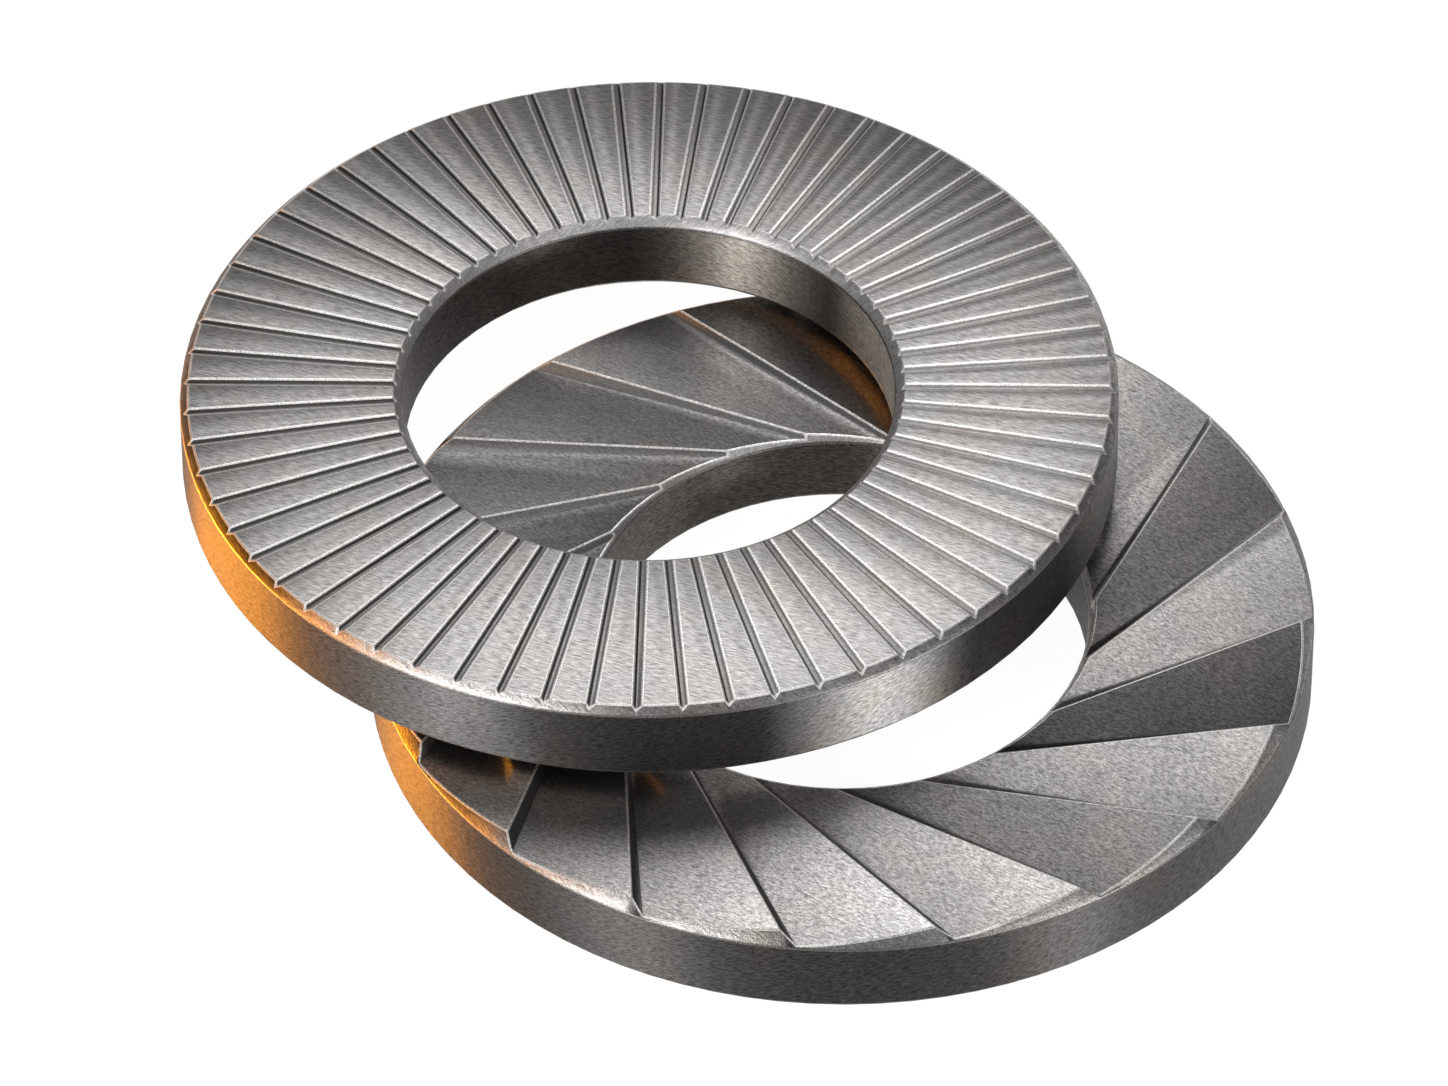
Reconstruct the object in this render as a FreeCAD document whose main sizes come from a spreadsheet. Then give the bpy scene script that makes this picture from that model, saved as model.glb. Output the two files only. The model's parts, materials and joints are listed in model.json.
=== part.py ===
import FreeCAD, Part
import os

import Sketcher

# Wedge lock washer pair, in millimetres.
# The lower washer lies on its serrated face with its cams up, centred on the origin.
# The upper washer lies across it, cams down, with its serrated face on show.
# Seen with the cams up, each cam rises counterclockwise and then drops at a steep wall.
# The cams of one washer are the exact negative of the other's, so the pair can mesh.

DIMENSIONS = [
    # the ring that both washers are pressed from
    ("outer_diameter", 16.6),
    ("bore_diameter", 8.7),
    ("web_thickness", 1.5),
    # bevels at 45 degrees on the serrated side
    ("rim_bevel", 0.15),
    ("bore_bevel", 0.17),
    # bevels at 45 degrees on the cam side, and how far below the lowest valley they start
    ("rim_bevel_start", 0.03),
    ("bore_bevel_start", 0.06),
    # cams: flat ramps between straight lines that pass the axis at the swirl radius
    ("cam_count", 19),
    ("swirl_radius", 3.9),
    ("ramp_angle", 4.7),
    ("wall_angle", 48.0),
    # serrations: uneven vee grooves that run straight out from the axis
    ("serration_count", 64),
    ("serration_depth", 0.065),
    ("serration_steep_run", 0.055),
    ("serration_easy_run", 0.1),
    # how the pair lies: the upper washer has come to rest on three crests of the lower
    ("lower_turn", 13.0),
    ("upper_turn", 201.175),
    ("upper_shift_left", 3.38),
    ("upper_shift_back", 3.77),
    ("upper_lean_left", 0.46),
    ("upper_lean_back", 0.67),
    ("seat_gap", 0.01),
]

OUTER = "Sizes.outer_diameter / 2"
BORE = "Sizes.bore_diameter / 2"
WEB = "Sizes.web_thickness"
SWIRL = "Sizes.swirl_radius"
CAM_PITCH = "(360 / Sizes.cam_count)"

# A ramp is widest at the rim, where its far edge stands highest above its foot.
RAMP_WIDTH = (
    f"(sqrt(({OUTER})^2 - {SWIRL}^2) * sin({CAM_PITCH}) + {SWIRL} * (1 - cos({CAM_PITCH})))"
)
CAM_RISE = f"({RAMP_WIDTH} * tan(Sizes.ramp_angle))"
WALL_RUN = f"({CAM_RISE} / tan(Sizes.wall_angle))"
CREST = f"({WEB} + {CAM_RISE})"

# Section of either washer below its cams, as pairs of radius and height.
SERRATED_SIDE = [
    (BORE, "Sizes.bore_bevel"),
    (f"{BORE} + Sizes.bore_bevel", "0"),
    (f"{OUTER} - Sizes.rim_bevel", "0"),
    (OUTER, "Sizes.rim_bevel"),
]

# Lowering the upper washer stops this close to the seat gap, after at most so many steps.
SEAT_TOLERANCE = 0.0005
MOST_STEPS_DOWN = 12

doc = FreeCAD.newDocument("wedge_lock_washer_pair")
sheet = doc.addObject("Spreadsheet::Sheet", "Sizes")
for row, (alias, value) in enumerate(DIMENSIONS, start=1):
    sheet.set(f"A{row}", alias)
    sheet.set(f"B{row}", str(value))
    sheet.setAlias(f"B{row}", alias)
doc.recompute()


def number(formula):
    """The present value of a formula."""
    result = doc.Sizes.evalExpression(formula)
    return float(getattr(result, "Value", result))


def origin_feature(body, role):
    """One of the body's own origin planes or axes."""
    return next(item for item in body.Origin.OriginFeatures if item.Role == role)


def new_sketch(body, name, plane):
    sketch = body.newObject("Sketcher::SketchObject", name)
    sketch.AttachmentSupport = (origin_feature(body, plane), [""])
    sketch.MapMode = "FlatFace"
    return sketch


def draw_outline(sketch, corners):
    """A closed outline whose corners are held at the given pairs of formulas."""
    first = sketch.GeometryCount
    points = [FreeCAD.Vector(number(across), number(up), 0) for across, up in corners]
    edges = range(first, first + len(points))
    following = [*edges[1:], first]
    for start, end in zip(points, points[1:] + points[:1]):
        sketch.addGeometry(Part.LineSegment(start, end))
    for edge, next_edge in zip(edges, following):
        sketch.addConstraint(Sketcher.Constraint("Coincident", edge, 2, next_edge, 1))
    for edge, corner, point in zip(edges, corners, points):
        for kind, formula, distance in zip(("DistanceX", "DistanceY"), corner, point):
            held = Sketcher.Constraint(kind, -1, 1, edge, 1, distance)
            index = sketch.addConstraint(held)
            sketch.setExpression(f"Constraints[{index}]", formula)


def revolve(body, kind, name, outlines):
    """Turn outlines of (radius, height) about the washer's axis, to add or to cut."""
    sketch = new_sketch(body, f"{name}_outline", "XZ_Plane")
    for corners in outlines:
        draw_outline(sketch, corners)
    feature = body.newObject(f"PartDesign::{kind}", name)
    feature.Profile = sketch
    feature.ReferenceAxis = (origin_feature(body, "Z_Axis"), [""])
    feature.Angle = 360
    doc.recompute()
    return feature


def repeat_round(body, feature, name, count):
    """Copies of a feature spread evenly about the washer's axis."""
    pattern = body.newObject("PartDesign::PolarPattern", name)
    pattern.Originals = [feature]
    pattern.Axis = (origin_feature(body, "Z_Axis"), [""])
    pattern.Angle = 360
    pattern.setExpression("Occurrences", f"Sizes.{count}")
    body.Tip = pattern
    doc.recompute()


def cut_serrations(body):
    """One vee groove from just inside the bore along the X axis, then all of them."""
    sketch = new_sketch(body, "Serration_outline", "YZ_Plane")
    sketch.setExpression("AttachmentOffset.Base.z", f"{BORE} - Sizes.bore_bevel")
    draw_outline(
        sketch,
        [
            ("0", "Sizes.serration_depth"),
            ("1.25 * Sizes.serration_steep_run", "-0.25 * Sizes.serration_depth"),
            ("-1.25 * Sizes.serration_easy_run", "-0.25 * Sizes.serration_depth"),
        ],
    )
    groove = body.newObject("PartDesign::Pocket", "Serration")
    groove.Profile = sketch
    groove.Type = "ThroughAll"
    groove.Reversed = True
    doc.recompute()
    repeat_round(body, groove, "Serrations", "serration_count")


def make_lower_washer():
    """The blank carries the bevels, and each cam is cut down from it."""
    body = doc.addObject("PartDesign::Body", "lower_washer")
    cam_side = [
        (OUTER, f"{WEB} - Sizes.rim_bevel_start"),
        (f"{OUTER} - {CAM_RISE} - Sizes.rim_bevel_start", CREST),
        (f"{BORE} + {CAM_RISE} + Sizes.bore_bevel_start", CREST),
        (BORE, f"{WEB} - Sizes.bore_bevel_start"),
    ]
    revolve(body, "Revolution", "Blank", [SERRATED_SIDE + cam_side])

    sketch = new_sketch(body, "Cam_outline", "XZ_Plane")
    draw_outline(
        sketch,
        [
            (SWIRL, WEB),
            (f"{SWIRL} + 2 * {WALL_RUN}", f"{WEB} + 2 * {CAM_RISE}"),
            (f"{SWIRL} - 2 * {RAMP_WIDTH}", f"{WEB} + 2 * {CAM_RISE}"),
        ],
    )
    ramp = body.newObject("PartDesign::Pocket", "Cam")
    ramp.Profile = sketch
    ramp.Type = "ThroughAll"
    doc.recompute()
    repeat_round(body, ramp, "Cams", "cam_count")
    cut_serrations(body)
    return body


def make_upper_washer():
    """Each cam is a ridge added to a flat ring, and the bevels are turned last."""
    body = doc.addObject("PartDesign::Body", "upper_washer")
    flat_top = [(OUTER, WEB), (BORE, WEB)]
    revolve(body, "Revolution", "Ring", [SERRATED_SIDE + flat_top])

    sketch = new_sketch(body, "Cam_outline", "XZ_Plane")
    draw_outline(
        sketch,
        [
            (f"-{SWIRL}", CREST),
            (f"-{SWIRL} - {WALL_RUN}", WEB),
            (f"-{SWIRL} + {RAMP_WIDTH}", WEB),
        ],
    )
    ridge = body.newObject("PartDesign::Pad", "Cam")
    ridge.Profile = sketch
    ridge.setExpression("Length", OUTER)
    ridge.Reversed = True
    doc.recompute()
    repeat_round(body, ridge, "Cams", "cam_count")

    over_crest = f"{CREST} + {CAM_RISE}"
    rim_waste = [
        (OUTER, f"{WEB} - Sizes.rim_bevel_start"),
        (f"2 * {OUTER}", f"{WEB} - Sizes.rim_bevel_start"),
        (f"2 * {OUTER}", over_crest),
        (f"{OUTER} - 2 * {CAM_RISE} - Sizes.rim_bevel_start", over_crest),
    ]
    bore_waste = [
        ("0", f"{WEB} - Sizes.bore_bevel_start"),
        (BORE, f"{WEB} - Sizes.bore_bevel_start"),
        (f"{BORE} + 2 * {CAM_RISE} + Sizes.bore_bevel_start", over_crest),
        ("0", over_crest),
    ]
    bevels = revolve(body, "Groove", "Bevels", [rim_waste, bore_waste])
    body.Tip = bevels
    cut_serrations(body)
    return body


def turned(axis, angle):
    return FreeCAD.Rotation(axis, number(angle))


def lay_on(upper, lower):
    """Lower the upper washer straight down until only the seat gap is left."""
    gap = number("Sizes.seat_gap")
    for _ in range(MOST_STEPS_DOWN):
        drop = upper.Shape.distToShape(lower.Shape)[0] - gap
        if drop < SEAT_TOLERANCE:
            return
        upper.Placement.Base.z -= drop
        doc.recompute()
    raise RuntimeError("the upper washer has not come to rest")


lower_washer = make_lower_washer()
lower_washer.Placement = FreeCAD.Placement(
    FreeCAD.Vector(0, 0, 0), turned(FreeCAD.Vector(0, 0, 1), "Sizes.lower_turn")
)

upper_washer = make_upper_washer()
upper_washer.Placement = FreeCAD.Placement(
    FreeCAD.Vector(
        -number("Sizes.upper_shift_left"),
        number("Sizes.upper_shift_back"),
        2 * number(CREST) + number(WEB),
    ),
    turned(FreeCAD.Vector(0, 1, 0), "-Sizes.upper_lean_left")
    * turned(FreeCAD.Vector(1, 0, 0), "-Sizes.upper_lean_back")
    * turned(FreeCAD.Vector(0, 0, 1), "Sizes.upper_turn")
    * FreeCAD.Rotation(FreeCAD.Vector(1, 0, 0), 180),
)
doc.recompute()
lay_on(upper_washer, lower_washer)

for item in doc.Objects:
    if {"Invalid", "Error"} & set(item.State):
        raise RuntimeError(f"{item.Label} did not build: {item.State}")
for washer in (lower_washer, upper_washer):
    shape = washer.Shape
    if shape.isNull() or not shape.isValid() or len(shape.Solids) != 1:
        raise RuntimeError(f"{washer.Label} is not one sound solid")

os.makedirs("parts", exist_ok=True)
lower_washer.Shape.exportStep("parts/lower_washer.step")
upper_washer.Shape.exportStep("parts/upper_washer.step")
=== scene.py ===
import json
import math

import bmesh
import bpy
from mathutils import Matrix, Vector


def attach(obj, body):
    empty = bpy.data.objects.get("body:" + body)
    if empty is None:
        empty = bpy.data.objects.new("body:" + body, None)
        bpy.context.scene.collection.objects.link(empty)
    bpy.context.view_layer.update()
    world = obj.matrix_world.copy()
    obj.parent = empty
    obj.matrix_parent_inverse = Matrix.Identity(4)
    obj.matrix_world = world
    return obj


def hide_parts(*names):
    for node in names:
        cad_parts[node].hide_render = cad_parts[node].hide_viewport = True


# The looks of a wedge lock washer pair: two steel washers on a white floor, one across the other.
# Constants that are lengths, pixels or angles name their unit.

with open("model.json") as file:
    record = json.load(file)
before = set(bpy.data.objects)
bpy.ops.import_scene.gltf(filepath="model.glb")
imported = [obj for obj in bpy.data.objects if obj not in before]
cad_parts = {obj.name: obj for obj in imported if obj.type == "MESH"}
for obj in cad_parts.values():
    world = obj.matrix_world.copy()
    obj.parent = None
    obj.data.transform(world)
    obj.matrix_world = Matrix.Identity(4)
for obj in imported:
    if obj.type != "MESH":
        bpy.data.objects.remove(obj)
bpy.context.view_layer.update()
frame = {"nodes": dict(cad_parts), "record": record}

MM = 0.001

# camera: a long lens that looks down along +Y at the pair
PHOTO_WIDTH_PX = 1448
FOCAL_PX = 12000
SENSOR_MM = 36.0
CAMERA_MM = (-2.056, -150.998, 148.277)
CAMERA_DOWN_DEG = 43.866
NEAR_M, FAR_M = 0.01, 10

# each washer and the mount that gives its centre, axis and bore
NODES = {"upper_washer": "upper_bore", "lower_washer": "lower_bore"}
MOUNTS = {mount["name"]: mount for mount in frame["record"]["mounts"]}
BORE_RADIUS_MM = MOUNTS["lower_bore"]["dims"]["r_mm"]
RIM_RADIUS_MM = 8.3
CAM_COUNT = 19
CAM_FOOT_MM, CAM_CREST_MM = 1.5, 1.69

# each kind of surface has a steel of its own
ZONES = (
    "land", "groove", "flank", "rim", "bore", "rim_bevel", "bore_bevel", "cam", "step",
    "edge", "corner", "crest",
)

# telling the surfaces apart: how far a face turns outward, and up out of the serrated side
WALL_UP, WALL_OUTWARD = 0.2, 0.9
BEVEL_OUTWARD = 0.6
SERRATED_UP = 0.5
GROOVE_UP = 0.74
CAM_DOWN = 0.985
LAND_DEPTH_MM = 0.012

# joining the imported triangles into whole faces, and wearing the edges round
WELD_MM = 0.0005
FLAT_DEG = 0.6
EDGE_DEG = 14.0
EDGE_ROUND_MM = 0.026
EDGE_SEGMENTS = 2
SMOOTH_DEG = 32.0

# telling the worn edges apart
CORNER_OUTWARD = 0.75
BORE_LIP_MM = 0.27
CREST_DEPTH_MM = 1.56

# steel: its tint, and the brown of the parts that are less rubbed
WARM = (1.0, 0.978, 0.955)
WARMER = (1.0, 0.91, 0.81)
BROWN = (1.0, 0.88, 0.77)

# painted light on the cams: a tone for each cam in turn, a painted reflection that stands in for the light
# its facet mirrors, and painted shade that changes each cam's tone from foot to crest and from bore to rim
DULL, DIM, MILD, PLAIN, BRIGHT, BRIGHTEST = 0.22, 0.44, 0.66, 0.86, 1.0, 1.16
CAM_PAINTED_REFLECTIONS = (
    DIM, BRIGHTEST, DIM, BRIGHTEST, DULL, PLAIN, DIM, PLAIN, BRIGHT, PLAIN,
    MILD, MILD, DIM, DIM, MILD, MILD, PLAIN, DIM, PLAIN,
)
CAM_FOOT_PAINTED_SHADE, CAM_CREST_PAINTED_LIGHT = 0.66, 1.12
CAM_BORE_PAINTED_SHADE, CAM_RIM_PAINTED_LIGHT = 0.82, 1.15

# painted highlights and painted shade in bands round each washer, standing in for the light and dark
# reflections of the lamps:
# the bearing and half width in degrees, and how much is added
LAND_PAINTED_LIGHT_BANDS = ((190, 60, -0.2), (48, 36, -0.28))
RIM_PAINTED_LIGHT_BANDS = ((-62, 15, 2.8), (-12, 18, 2.7), (-121, 18, 0.5), (16, 40, 1.5))
RIM_BEVEL_PAINTED_LIGHT_BANDS = ((-160, 40, -0.9), (-118, 26, 1.0), (150, 26, -0.7), (118, 26, 0.6), (34, 50, 1.0))
BORE_PAINTED_LIGHT_BANDS = ((66, 30, 2.1), (20, 24, 8.0), (-60, 30, 0.8), (-150, 26, 1.2))
STEP_PAINTED_LIGHT_BANDS = ((8, 50, 3.0), (125, 50, -0.5))
CREST_PAINTED_LIGHT_BANDS = ((10, 55, 0.9),)

# patterns: how fine the specks and the clouds are, and the part of a noise that carries its change
SPECK_FINENESS, CLOUD_FINENESS = 46.0, 0.5
NOISE_LOW, NOISE_HIGH = 0.3, 0.7
STAIN_LOW, STAIN_HIGH = 0.45, 0.7
ROUGHNESS_SWING = 0.05
SPECK_RELIEF = 0.6

# shade in grooves and corners: how far it reaches, and the open and covered ends of its range
SHADE_REACH_MM = 0.2
SHADE_SAMPLES = 8
SHADE_COVERED, SHADE_OPEN = 0.3, 0.95

# floor and world
FLOOR_HALF_M = 0.6
FLOOR_GREY = 0.12
FLOOR_GLOW = 0.95
FLOOR_ROUGHNESS = 0.9
FLOOR_SPECULAR = 0.1
WORLD_STRENGTH = 0.23

# the colour sockets of a Mix node, which share their names with its other sockets
MIX_COLOUR_INPUTS = (6, 7)
MIX_COLOUR_OUTPUT = 2


class OwnFrame:
    """A washer's centre and directions. The last of them points out of its serrated side."""

    def __init__(self, node, points):
        mount = MOUNTS[NODES[node]]
        self.centre = Vector(mount["pos_m"]) / MM
        self.out = Vector(mount["axis"]).normalized()
        self.along = (Vector((1, 0, 0)) - self.out * self.out.x).normalized()
        self.across = self.out.cross(self.along)
        self.face_height = max((point - self.centre).dot(self.out) for point in points)

    def measure(self, point):
        """How deep a point lies below the serrated face, and the way to it from the axis."""
        place = point - self.centre
        height = place.dot(self.out)
        return self.face_height - height, place - self.out * height


def zone_of(face, own):
    """Which surface of the washer a face belongs to."""
    depth, from_axis = own.measure(face.calc_center_median())
    outward = face.normal.dot(from_axis.normalized())
    up = face.normal.dot(own.out)
    if abs(up) < WALL_UP and abs(outward) > WALL_OUTWARD:
        return "rim" if outward > 0 else "bore"
    if abs(outward) > BEVEL_OUTWARD:
        return "rim_bevel" if outward > 0 else "bore_bevel"
    if up > SERRATED_UP:
        if depth < LAND_DEPTH_MM:
            return "land"
        return "groove" if up > GROOVE_UP else "flank"
    return "cam" if up < -CAM_DOWN else "step"


def mark_cams(bm, own):
    """Give each cam's facet a painted reflection: a tone of its own, counted round by the way it leans."""
    tone = bm.faces.layers.float.new("tone")
    pitch = 360 / CAM_COUNT
    phase = None
    for face in bm.faces:
        face[tone] = 1.0
        if ZONES[face.material_index] != "cam":
            continue
        leans = math.degrees(math.atan2(face.normal.dot(own.across), face.normal.dot(own.along))) % 360
        if phase is None:
            phase = leans % pitch
        face[tone] = CAM_PAINTED_REFLECTIONS[round((leans - phase) / pitch) % CAM_COUNT]


def mark_edges(bm, own):
    """Worn edges differ: dull where they face sideways, in painted shade like the rim's, even round the
    bore's lip, bright on a crest, partly by painted highlights.
    """
    for face in bm.faces:
        if ZONES[face.material_index] != "edge":
            continue
        depth, from_axis = own.measure(face.calc_center_median())
        if abs(face.normal.dot(from_axis.normalized())) > CORNER_OUTWARD:
            face.material_index = ZONES.index("corner")
        elif face.normal.dot(own.out) > 0 and from_axis.length < BORE_RADIUS_MM + BORE_LIP_MM:
            face.material_index = ZONES.index("bore_bevel")
        elif depth > CREST_DEPTH_MM:
            face.material_index = ZONES.index("crest")


def wear_edges(bm):
    """Round the convex edges. The new faces start as plain edge."""
    worn = [
        edge for edge in bm.edges
        if edge.is_manifold and edge.calc_face_angle_signed(0) > math.radians(EDGE_DEG)
    ]
    bmesh.ops.bevel(
        bm, geom=worn, offset=EDGE_ROUND_MM, offset_type="OFFSET", segments=EDGE_SEGMENTS,
        profile=0.5, affect="EDGES", clamp_overlap=False, material=ZONES.index("edge"),
    )
    bmesh.ops.triangulate(bm, faces=bm.faces)
    bm.normal_update()


def store_own_places(mesh, own):
    """Tell the materials where each vertex lies on its washer, and which way the washer faces."""
    places = mesh.attributes.new("own", "FLOAT_VECTOR", "POINT")
    upright = mesh.attributes.new("upright", "FLOAT_VECTOR", "POINT")
    for vertex in mesh.vertices:
        depth, from_axis = own.measure(vertex.co / MM)
        place = (from_axis.dot(own.along), from_axis.dot(own.across), depth)
        places.data[vertex.index].vector = place
        upright.data[vertex.index].vector = own.out


def dressed_washer(node):
    """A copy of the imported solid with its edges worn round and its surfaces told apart."""
    bm = bmesh.new()
    bm.from_mesh(frame["nodes"][node].data)
    bmesh.ops.scale(bm, vec=(1 / MM, 1 / MM, 1 / MM), verts=bm.verts)
    bmesh.ops.remove_doubles(bm, verts=bm.verts, dist=WELD_MM)
    bmesh.ops.dissolve_limit(
        bm, angle_limit=math.radians(FLAT_DEG), verts=bm.verts, edges=bm.edges
    )
    bm.normal_update()

    own = OwnFrame(node, [vertex.co for vertex in bm.verts])
    for face in bm.faces:
        face.material_index = ZONES.index(zone_of(face, own))
    mark_cams(bm, own)
    wear_edges(bm)
    mark_edges(bm, own)

    mesh = bpy.data.meshes.new(f"{node}_detail")
    bmesh.ops.scale(bm, vec=(MM, MM, MM), verts=bm.verts)
    bm.to_mesh(mesh)
    bm.free()
    store_own_places(mesh, own)
    mesh.shade_smooth()
    mesh.set_sharp_from_angle(angle=math.radians(SMOOTH_DEG))

    washer = bpy.data.objects.new(f"{node}_body", mesh)
    bpy.context.collection.objects.link(washer)
    weighted = washer.modifiers.new("Weighted normals", "WEIGHTED_NORMAL")
    weighted.keep_sharp = True
    return washer


class Graph:
    """Short calls that add nodes to a material and link them."""

    def __init__(self, name):
        self.material = bpy.data.materials.new(name)
        self.material.use_nodes = True
        self.tree = self.material.node_tree
        self.shader = self.tree.nodes["Principled BSDF"]

    def add(self, kind, **settings):
        node = self.tree.nodes.new(kind)
        for key, value in settings.items():
            setattr(node, key, value)
        return node

    def link(self, source, target):
        self.tree.links.new(source, target)

    def feed(self, node, values):
        """Give a node its inputs in turn, each a number or another node's output."""
        for socket, value in zip(node.inputs, values):
            if isinstance(value, (int, float)):
                socket.default_value = value
            else:
                self.link(value, socket)
        return node.outputs[0]

    def attribute(self, name, output="Vector"):
        return self.add("ShaderNodeAttribute", attribute_name=name).outputs[output]

    def math(self, operation, *values):
        return self.feed(self.add("ShaderNodeMath", operation=operation), values)

    def join(self, *parts):
        return self.feed(self.add("ShaderNodeCombineXYZ"), parts)

    def split(self, vector):
        node = self.add("ShaderNodeSeparateXYZ")
        self.link(vector, node.inputs[0])
        return node.outputs

    def noise(self, place, scale, detail=3.0, roughness=0.6):
        node = self.add("ShaderNodeTexNoise")
        self.link(place, node.inputs["Vector"])
        node.inputs["Scale"].default_value = scale
        node.inputs["Detail"].default_value = detail
        node.inputs["Roughness"].default_value = roughness
        return node.outputs["Fac"]

    def product(self, *values):
        result = values[0]
        for value in values[1:]:
            result = self.math("MULTIPLY", result, value)
        return result

    def spread(self, value, low, high, to_low=0.0, to_high=1.0, ease="LINEAR"):
        """Turn the range from low to high into the range from to_low to to_high."""
        node = self.add("ShaderNodeMapRange", interpolation_type=ease)
        self.link(value, node.inputs["Value"])
        for key, number in zip(
            ("From Min", "From Max", "To Min", "To Max"), (low, high, to_low, to_high)
        ):
            node.inputs[key].default_value = number
        return node.outputs[0]

    def blend(self, factor, first, second):
        """One colour turning into another as the factor goes from 0 to 1."""
        node = self.add("ShaderNodeMix", data_type="RGBA")
        self.link(factor, node.inputs["Factor"])
        for socket, colour in zip(MIX_COLOUR_INPUTS, (first, second)):
            node.inputs[socket].default_value = (*colour, 1.0)
        return node.outputs[MIX_COLOUR_OUTPUT]


def towards(graph, bearing_deg):
    """How far a place lies from the axis in one direction."""
    x, y, _ = graph.split(graph.attribute("own"))
    turn = math.radians(bearing_deg)
    return graph.math(
        "ADD", graph.math("MULTIPLY", x, math.cos(turn)), graph.math("MULTIPLY", y, math.sin(turn))
    )


def radius_of(graph):
    x, y, _ = graph.split(graph.attribute("own"))
    return graph.math(
        "SQRT", graph.math("ADD", graph.math("MULTIPLY", x, x), graph.math("MULTIPLY", y, y))
    )


def grain_place(graph, layout, stretch, slant_deg):
    """Coordinates in which the grain runs: straight over a face, around a wall or across it."""
    x, y, depth = graph.split(graph.attribute("own"))
    if layout == "flat":
        drawn = graph.math("DIVIDE", towards(graph, slant_deg), stretch)
        return graph.join(drawn, towards(graph, slant_deg + 90), depth)
    radius = radius_of(graph)
    arc = graph.math("MULTIPLY", graph.math("ARCTAN2", y, x), radius)
    if layout == "around":
        slope = math.tan(math.radians(slant_deg))
        slanted = graph.math("ADD", depth, graph.math("MULTIPLY", arc, slope))
        return graph.join(graph.math("DIVIDE", arc, stretch), slanted, radius)
    return graph.join(arc, graph.math("DIVIDE", radius, stretch), graph.math("DIVIDE", depth, stretch))


def paint_light_bands(graph, bands):
    """Painted highlights and painted shade: a multiplier that is 1 between the bands and changes smoothly
    towards the middle of each.
    """
    radius = radius_of(graph)
    total = 1.0
    for bearing, half_width, gain in bands:
        facing = graph.math("DIVIDE", towards(graph, bearing), radius)
        edge = math.cos(math.radians(half_width))
        total = graph.math("ADD", graph.spread(facing, edge, 1.0, 0.0, gain, "SMOOTHSTEP"), total)
    return total


def level(graph, pattern, amount):
    """A noise pattern as a multiplier that stays around 1."""
    return graph.spread(pattern, NOISE_LOW, NOISE_HIGH, 1.0 - amount, 1.0 + amount)


def cam_painted_light(graph):
    """Each cam's painted reflection, under painted shade: its tone rises from its foot to its crest and
    from the bore to the rim.
    """
    depth = graph.split(graph.attribute("own"))[2]
    return graph.product(
        graph.attribute("tone", "Fac"),
        graph.spread(depth, CAM_FOOT_MM, CAM_CREST_MM, CAM_FOOT_PAINTED_SHADE, CAM_CREST_PAINTED_LIGHT),
        graph.spread(radius_of(graph), BORE_RADIUS_MM, RIM_RADIUS_MM, CAM_BORE_PAINTED_SHADE, CAM_RIM_PAINTED_LIGHT),
    )


def painted_crevice_shade(graph, shade):
    """Painted shade: a multiplier that darkens what lies in a groove or a corner."""
    occlusion = graph.add("ShaderNodeAmbientOcclusion", samples=SHADE_SAMPLES)
    occlusion.inputs["Distance"].default_value = SHADE_REACH_MM * MM
    return graph.spread(occlusion.outputs["AO"], SHADE_COVERED, SHADE_OPEN, 1.0 - shade, 1.0)


def colour_steel(graph, value, clouds, stain, tint):
    """A tone times a tint that turns brown in the clouds."""
    stained = graph.spread(clouds, STAIN_LOW, STAIN_HIGH, 0.0, stain)
    scaled = graph.add("ShaderNodeVectorMath", operation="SCALE")
    graph.link(graph.blend(stained, tint, BROWN), scaled.inputs[0])
    graph.link(value, scaled.inputs["Scale"])
    graph.link(scaled.outputs[0], graph.shader.inputs["Base Color"])


def raise_steel(graph, streaks, specks, depth_mm):
    """Streaks and specks as relief of a given depth."""
    bump = graph.add("ShaderNodeBump")
    bump.inputs["Strength"].default_value = 1.0
    bump.inputs["Distance"].default_value = depth_mm * MM
    relief = graph.math("ADD", streaks, graph.math("MULTIPLY", specks, SPECK_RELIEF))
    graph.link(relief, bump.inputs["Height"])
    graph.link(bump.outputs[0], graph.shader.inputs["Normal"])


def steel(name, tone, roughness, layout, stretch=1.0, slant_deg=0.0, fineness=30.0, contrast=0.2,
          speckle=0.1, clouding=0.03, stain=0.35, depth_mm=0.0025, drawn_out=0.0, shade=0.0,
          tint=WARM, bands=(), as_cam=False):
    """Grey steel whose colour, roughness and relief vary by streaks, specks and clouds.

    The layout says which way the streaks run, stretch how long they are for their width, and fineness
    how fine they are. Contrast, speckle and clouding say how much each pattern changes the tone, and
    stain how brown the clouds are. drawn_out stretches reflections along the washer's axis, and shade
    paints shade into grooves and corners. The bands paint highlights and shade round the washer's axis,
    and as_cam paints each cam's reflection and the shade at its foot and towards the bore.
    """
    graph = Graph(name)
    own = graph.attribute("own")
    streaks = graph.noise(grain_place(graph, layout, stretch, slant_deg), fineness)
    specks = graph.noise(own, SPECK_FINENESS, detail=2.0, roughness=0.7)
    clouds = graph.noise(own, CLOUD_FINENESS, detail=3.0, roughness=0.55)

    value = graph.product(
        level(graph, streaks, contrast), level(graph, specks, speckle), level(graph, clouds, clouding), tone
    )
    # painted highlights and painted shade in bands round the washer
    if bands:
        value = graph.product(value, paint_light_bands(graph, bands))
    # the cams' painted reflections, and their painted shade at the foot and towards the bore
    if as_cam:
        value = graph.product(value, cam_painted_light(graph))
    # painted shade in grooves and corners
    if shade:
        value = graph.product(value, painted_crevice_shade(graph, shade))
    colour_steel(graph, value, clouds, stain, tint)
    raise_steel(graph, streaks, specks, depth_mm)

    smoother, rougher = roughness - ROUGHNESS_SWING, roughness + ROUGHNESS_SWING
    varied = graph.spread(streaks, NOISE_LOW, NOISE_HIGH, rougher, smoother)
    graph.link(varied, graph.shader.inputs["Roughness"])
    graph.shader.inputs["Metallic"].default_value = 1.0
    if drawn_out:
        graph.shader.inputs["Anisotropic"].default_value = drawn_out
        graph.link(graph.attribute("upright"), graph.shader.inputs["Tangent"])
    return graph.material


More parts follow.
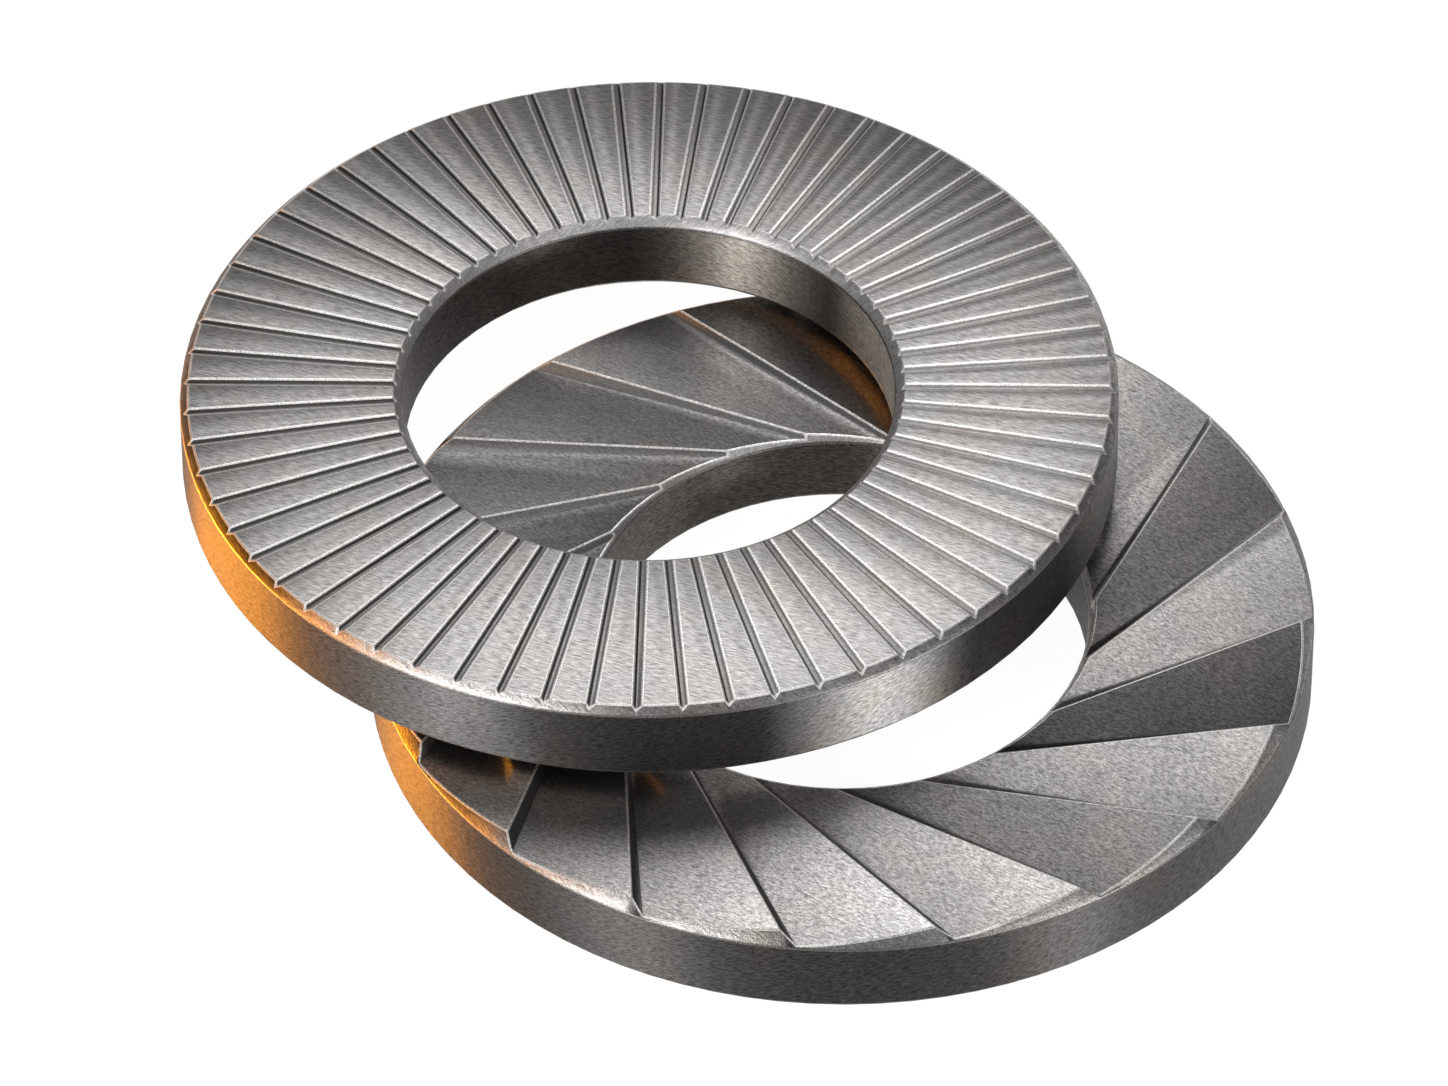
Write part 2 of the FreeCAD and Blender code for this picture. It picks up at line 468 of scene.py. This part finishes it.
def make_materials():
    """A steel for each kind of surface: its tone and roughness, the way its grain runs, and the rest."""
    return {
        "land": steel(
            "land_steel", 0.34, 0.335, "flat", stretch=6, slant_deg=-20, fineness=32, contrast=0.5,
            speckle=0.25, bands=LAND_PAINTED_LIGHT_BANDS,
        ),
        "groove": steel("groove_steel", 0.3, 0.4, "flat", stretch=3, slant_deg=-20, stain=0.8, shade=0.6),
        # the steep wall of each groove is made nearly black: painted shade
        "flank": steel("flank_steel", 0.07, 0.42, "flat", stretch=3, slant_deg=-20, shade=0.7),
        # the rim is made far darker than the faces: painted shade standing in for the dark reflections it
        # shows, with painted highlights in its bands
        "rim": steel(
            "rim_steel", 0.066, 0.5, "around", stretch=4.5, slant_deg=12, fineness=34, contrast=0.6,
            speckle=0.3, clouding=0.12, stain=0.8, drawn_out=0.9, bands=RIM_PAINTED_LIGHT_BANDS,
        ),
        # the bore is made far darker than the faces too: painted shade, with painted highlights in its
        # bands
        "bore": steel(
            "bore_steel", 0.07, 0.5, "around", stretch=4.5, slant_deg=12, fineness=34, contrast=0.6,
            speckle=0.3, clouding=0.12, stain=1.0, drawn_out=0.88, tint=WARMER, bands=BORE_PAINTED_LIGHT_BANDS,
        ),
        "rim_bevel": steel(
            "rim_bevel_steel", 0.17, 0.42, "across", stretch=1.2, fineness=14, contrast=0.45,
            speckle=0.5, stain=0.8, depth_mm=0.007, bands=RIM_BEVEL_PAINTED_LIGHT_BANDS,
        ),
        "bore_bevel": steel(
            "bore_bevel_steel", 0.4, 0.4, "across", stretch=2, fineness=20, contrast=0.35,
            speckle=0.35, depth_mm=0.005,
        ),
        # cam steel carries the painted reflection of each facet and painted shade at its foot and towards
        # the bore
        "cam": steel(
            "cam_steel", 0.4, 0.34, "flat", stretch=3, slant_deg=30, fineness=30, contrast=0.5,
            speckle=0.4, clouding=0.1, stain=0.3, shade=0.2, as_cam=True,
        ),
        # the step walls are made dark: painted shade, lifted on one side by painted highlights in their
        # bands
        "step": steel(
            "step_steel", 0.15, 0.38, "flat", stretch=1.5, contrast=0.3, shade=0.5, bands=STEP_PAINTED_LIGHT_BANDS
        ),
        # worn edges are made bright: partly real wear, partly a painted highlight along the lips and crests
        "edge": steel("edge_steel", 0.72, 0.38, "flat", contrast=0.3, speckle=0.45),
        "crest": steel("crest_steel", 0.5, 0.46, "flat", contrast=0.4, speckle=0.6, bands=CREST_PAINTED_LIGHT_BANDS),
        # edges that face sideways are made about as dark as the rim: painted shade
        "corner": steel("corner_steel", 0.12, 0.44, "flat", contrast=0.4, speckle=0.5, stain=0.8),
    }


def softbox(name, aim_mm, azimuth_deg, elevation_deg, distance_mm, size_mm, radiance, colour=(1, 1, 1)):
    """A soft lamp at a bearing from the point it aims at. Azimuth 0 is the camera's side."""
    azimuth, elevation = math.radians(azimuth_deg), math.radians(elevation_deg)
    bearing = Vector((
        math.sin(azimuth) * math.cos(elevation),
        -math.cos(azimuth) * math.cos(elevation),
        math.sin(elevation),
    ))
    data = bpy.data.lights.new(name, "AREA")
    data.shape = "RECTANGLE"
    data.size, data.size_y = size_mm[0] * MM, size_mm[1] * MM
    data.energy = math.pi * data.size * data.size_y * radiance
    data.color = colour
    lamp = bpy.data.objects.new(name, data)
    lamp.location = (Vector(aim_mm) + bearing * distance_mm) * MM
    lamp.rotation_euler = bearing.to_track_quat("Z", "Y").to_euler()
    lamp.visible_camera = False
    bpy.context.collection.objects.link(lamp)


def make_lamps():
    """White lamps all round, and a thin amber one low on the left."""
    softbox(
        "key", aim_mm=(-1, -6, 3.4), azimuth_deg=184, elevation_deg=45, distance_mm=34,
        size_mm=(24, 18), radiance=2.15,
    )
    softbox(
        "right_low", aim_mm=(1, -4, 2), azimuth_deg=50, elevation_deg=3, distance_mm=80,
        size_mm=(22, 8), radiance=90,
    )
    softbox(
        "left_low", aim_mm=(-2, -4, 2), azimuth_deg=-48, elevation_deg=9, distance_mm=80,
        size_mm=(32, 22), radiance=15,
    )
    softbox(
        "bore_light", aim_mm=(-3, 6, 2.6), azimuth_deg=-36, elevation_deg=24, distance_mm=80,
        size_mm=(12, 24), radiance=36,
    )
    softbox(
        "right_high", aim_mm=(0, 0, 2), azimuth_deg=45, elevation_deg=46, distance_mm=120,
        size_mm=(50, 50), radiance=1.8,
    )
    softbox(
        "left_high", aim_mm=(0, 0, 2), azimuth_deg=-50, elevation_deg=46, distance_mm=120,
        size_mm=(50, 50), radiance=1.6,
    )
    softbox(
        "amber", aim_mm=(-9, -2, 0.5), azimuth_deg=-104, elevation_deg=0, distance_mm=34,
        size_mm=(22, 0.8), radiance=1050, colour=(1.0, 0.34, 0.0),
    )
    softbox(
        "overhead", aim_mm=(0, 0, 0), azimuth_deg=0, elevation_deg=88, distance_mm=200,
        size_mm=(160, 160), radiance=0.85,
    )


def make_floor():
    """A white sheet. It shines for the camera and in the metal, and still takes the shadow."""
    half = FLOOR_HALF_M
    mesh = bpy.data.meshes.new("floor")
    mesh.from_pydata(
        [(-half, -half, 0), (half, -half, 0), (half, half, 0), (-half, half, 0)], [], [(0, 1, 2, 3)]
    )
    floor = bpy.data.objects.new("floor", mesh)
    bpy.context.collection.objects.link(floor)
    graph = Graph("floor_paper")
    graph.shader.inputs["Base Color"].default_value = (FLOOR_GREY, FLOOR_GREY, FLOOR_GREY, 1)
    graph.shader.inputs["Roughness"].default_value = FLOOR_ROUGHNESS
    graph.shader.inputs["Specular IOR Level"].default_value = FLOOR_SPECULAR
    path = graph.add("ShaderNodeLightPath")
    seen = graph.math(
        "MAXIMUM", path.outputs["Is Camera Ray"],
        graph.math("MAXIMUM", path.outputs["Is Glossy Ray"], path.outputs["Is Transmission Ray"]),
    )
    graph.shader.inputs["Emission Color"].default_value = (1, 1, 1, 1)
    graph.link(graph.math("MULTIPLY", seen, FLOOR_GLOW), graph.shader.inputs["Emission Strength"])
    mesh.materials.append(graph.material)


def make_world():
    world = bpy.data.worlds.new("studio")
    world.use_nodes = True
    background = world.node_tree.nodes["Background"]
    background.inputs["Color"].default_value = (1, 1, 1, 1)
    background.inputs["Strength"].default_value = WORLD_STRENGTH
    bpy.context.scene.world = world


def make_camera():
    data = bpy.data.cameras.new("camera")
    data.sensor_fit = "HORIZONTAL"
    data.sensor_width = SENSOR_MM
    data.lens = FOCAL_PX / PHOTO_WIDTH_PX * SENSOR_MM
    data.clip_start, data.clip_end = NEAR_M, FAR_M
    camera = bpy.data.objects.new("camera", data)
    camera.location = Vector(CAMERA_MM) * MM
    camera.rotation_euler = (math.radians(90 - CAMERA_DOWN_DEG), 0, 0)
    bpy.context.collection.objects.link(camera)
    bpy.context.scene.camera = camera


bpy.context.scene.view_settings.view_transform = "Standard"
materials = make_materials()
for node in NODES:
    washer = dressed_washer(node)
    for zone in ZONES:
        washer.data.materials.append(materials[zone])
    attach(washer, "root")
    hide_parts(node)
make_floor()
make_world()
make_lamps()
make_camera()
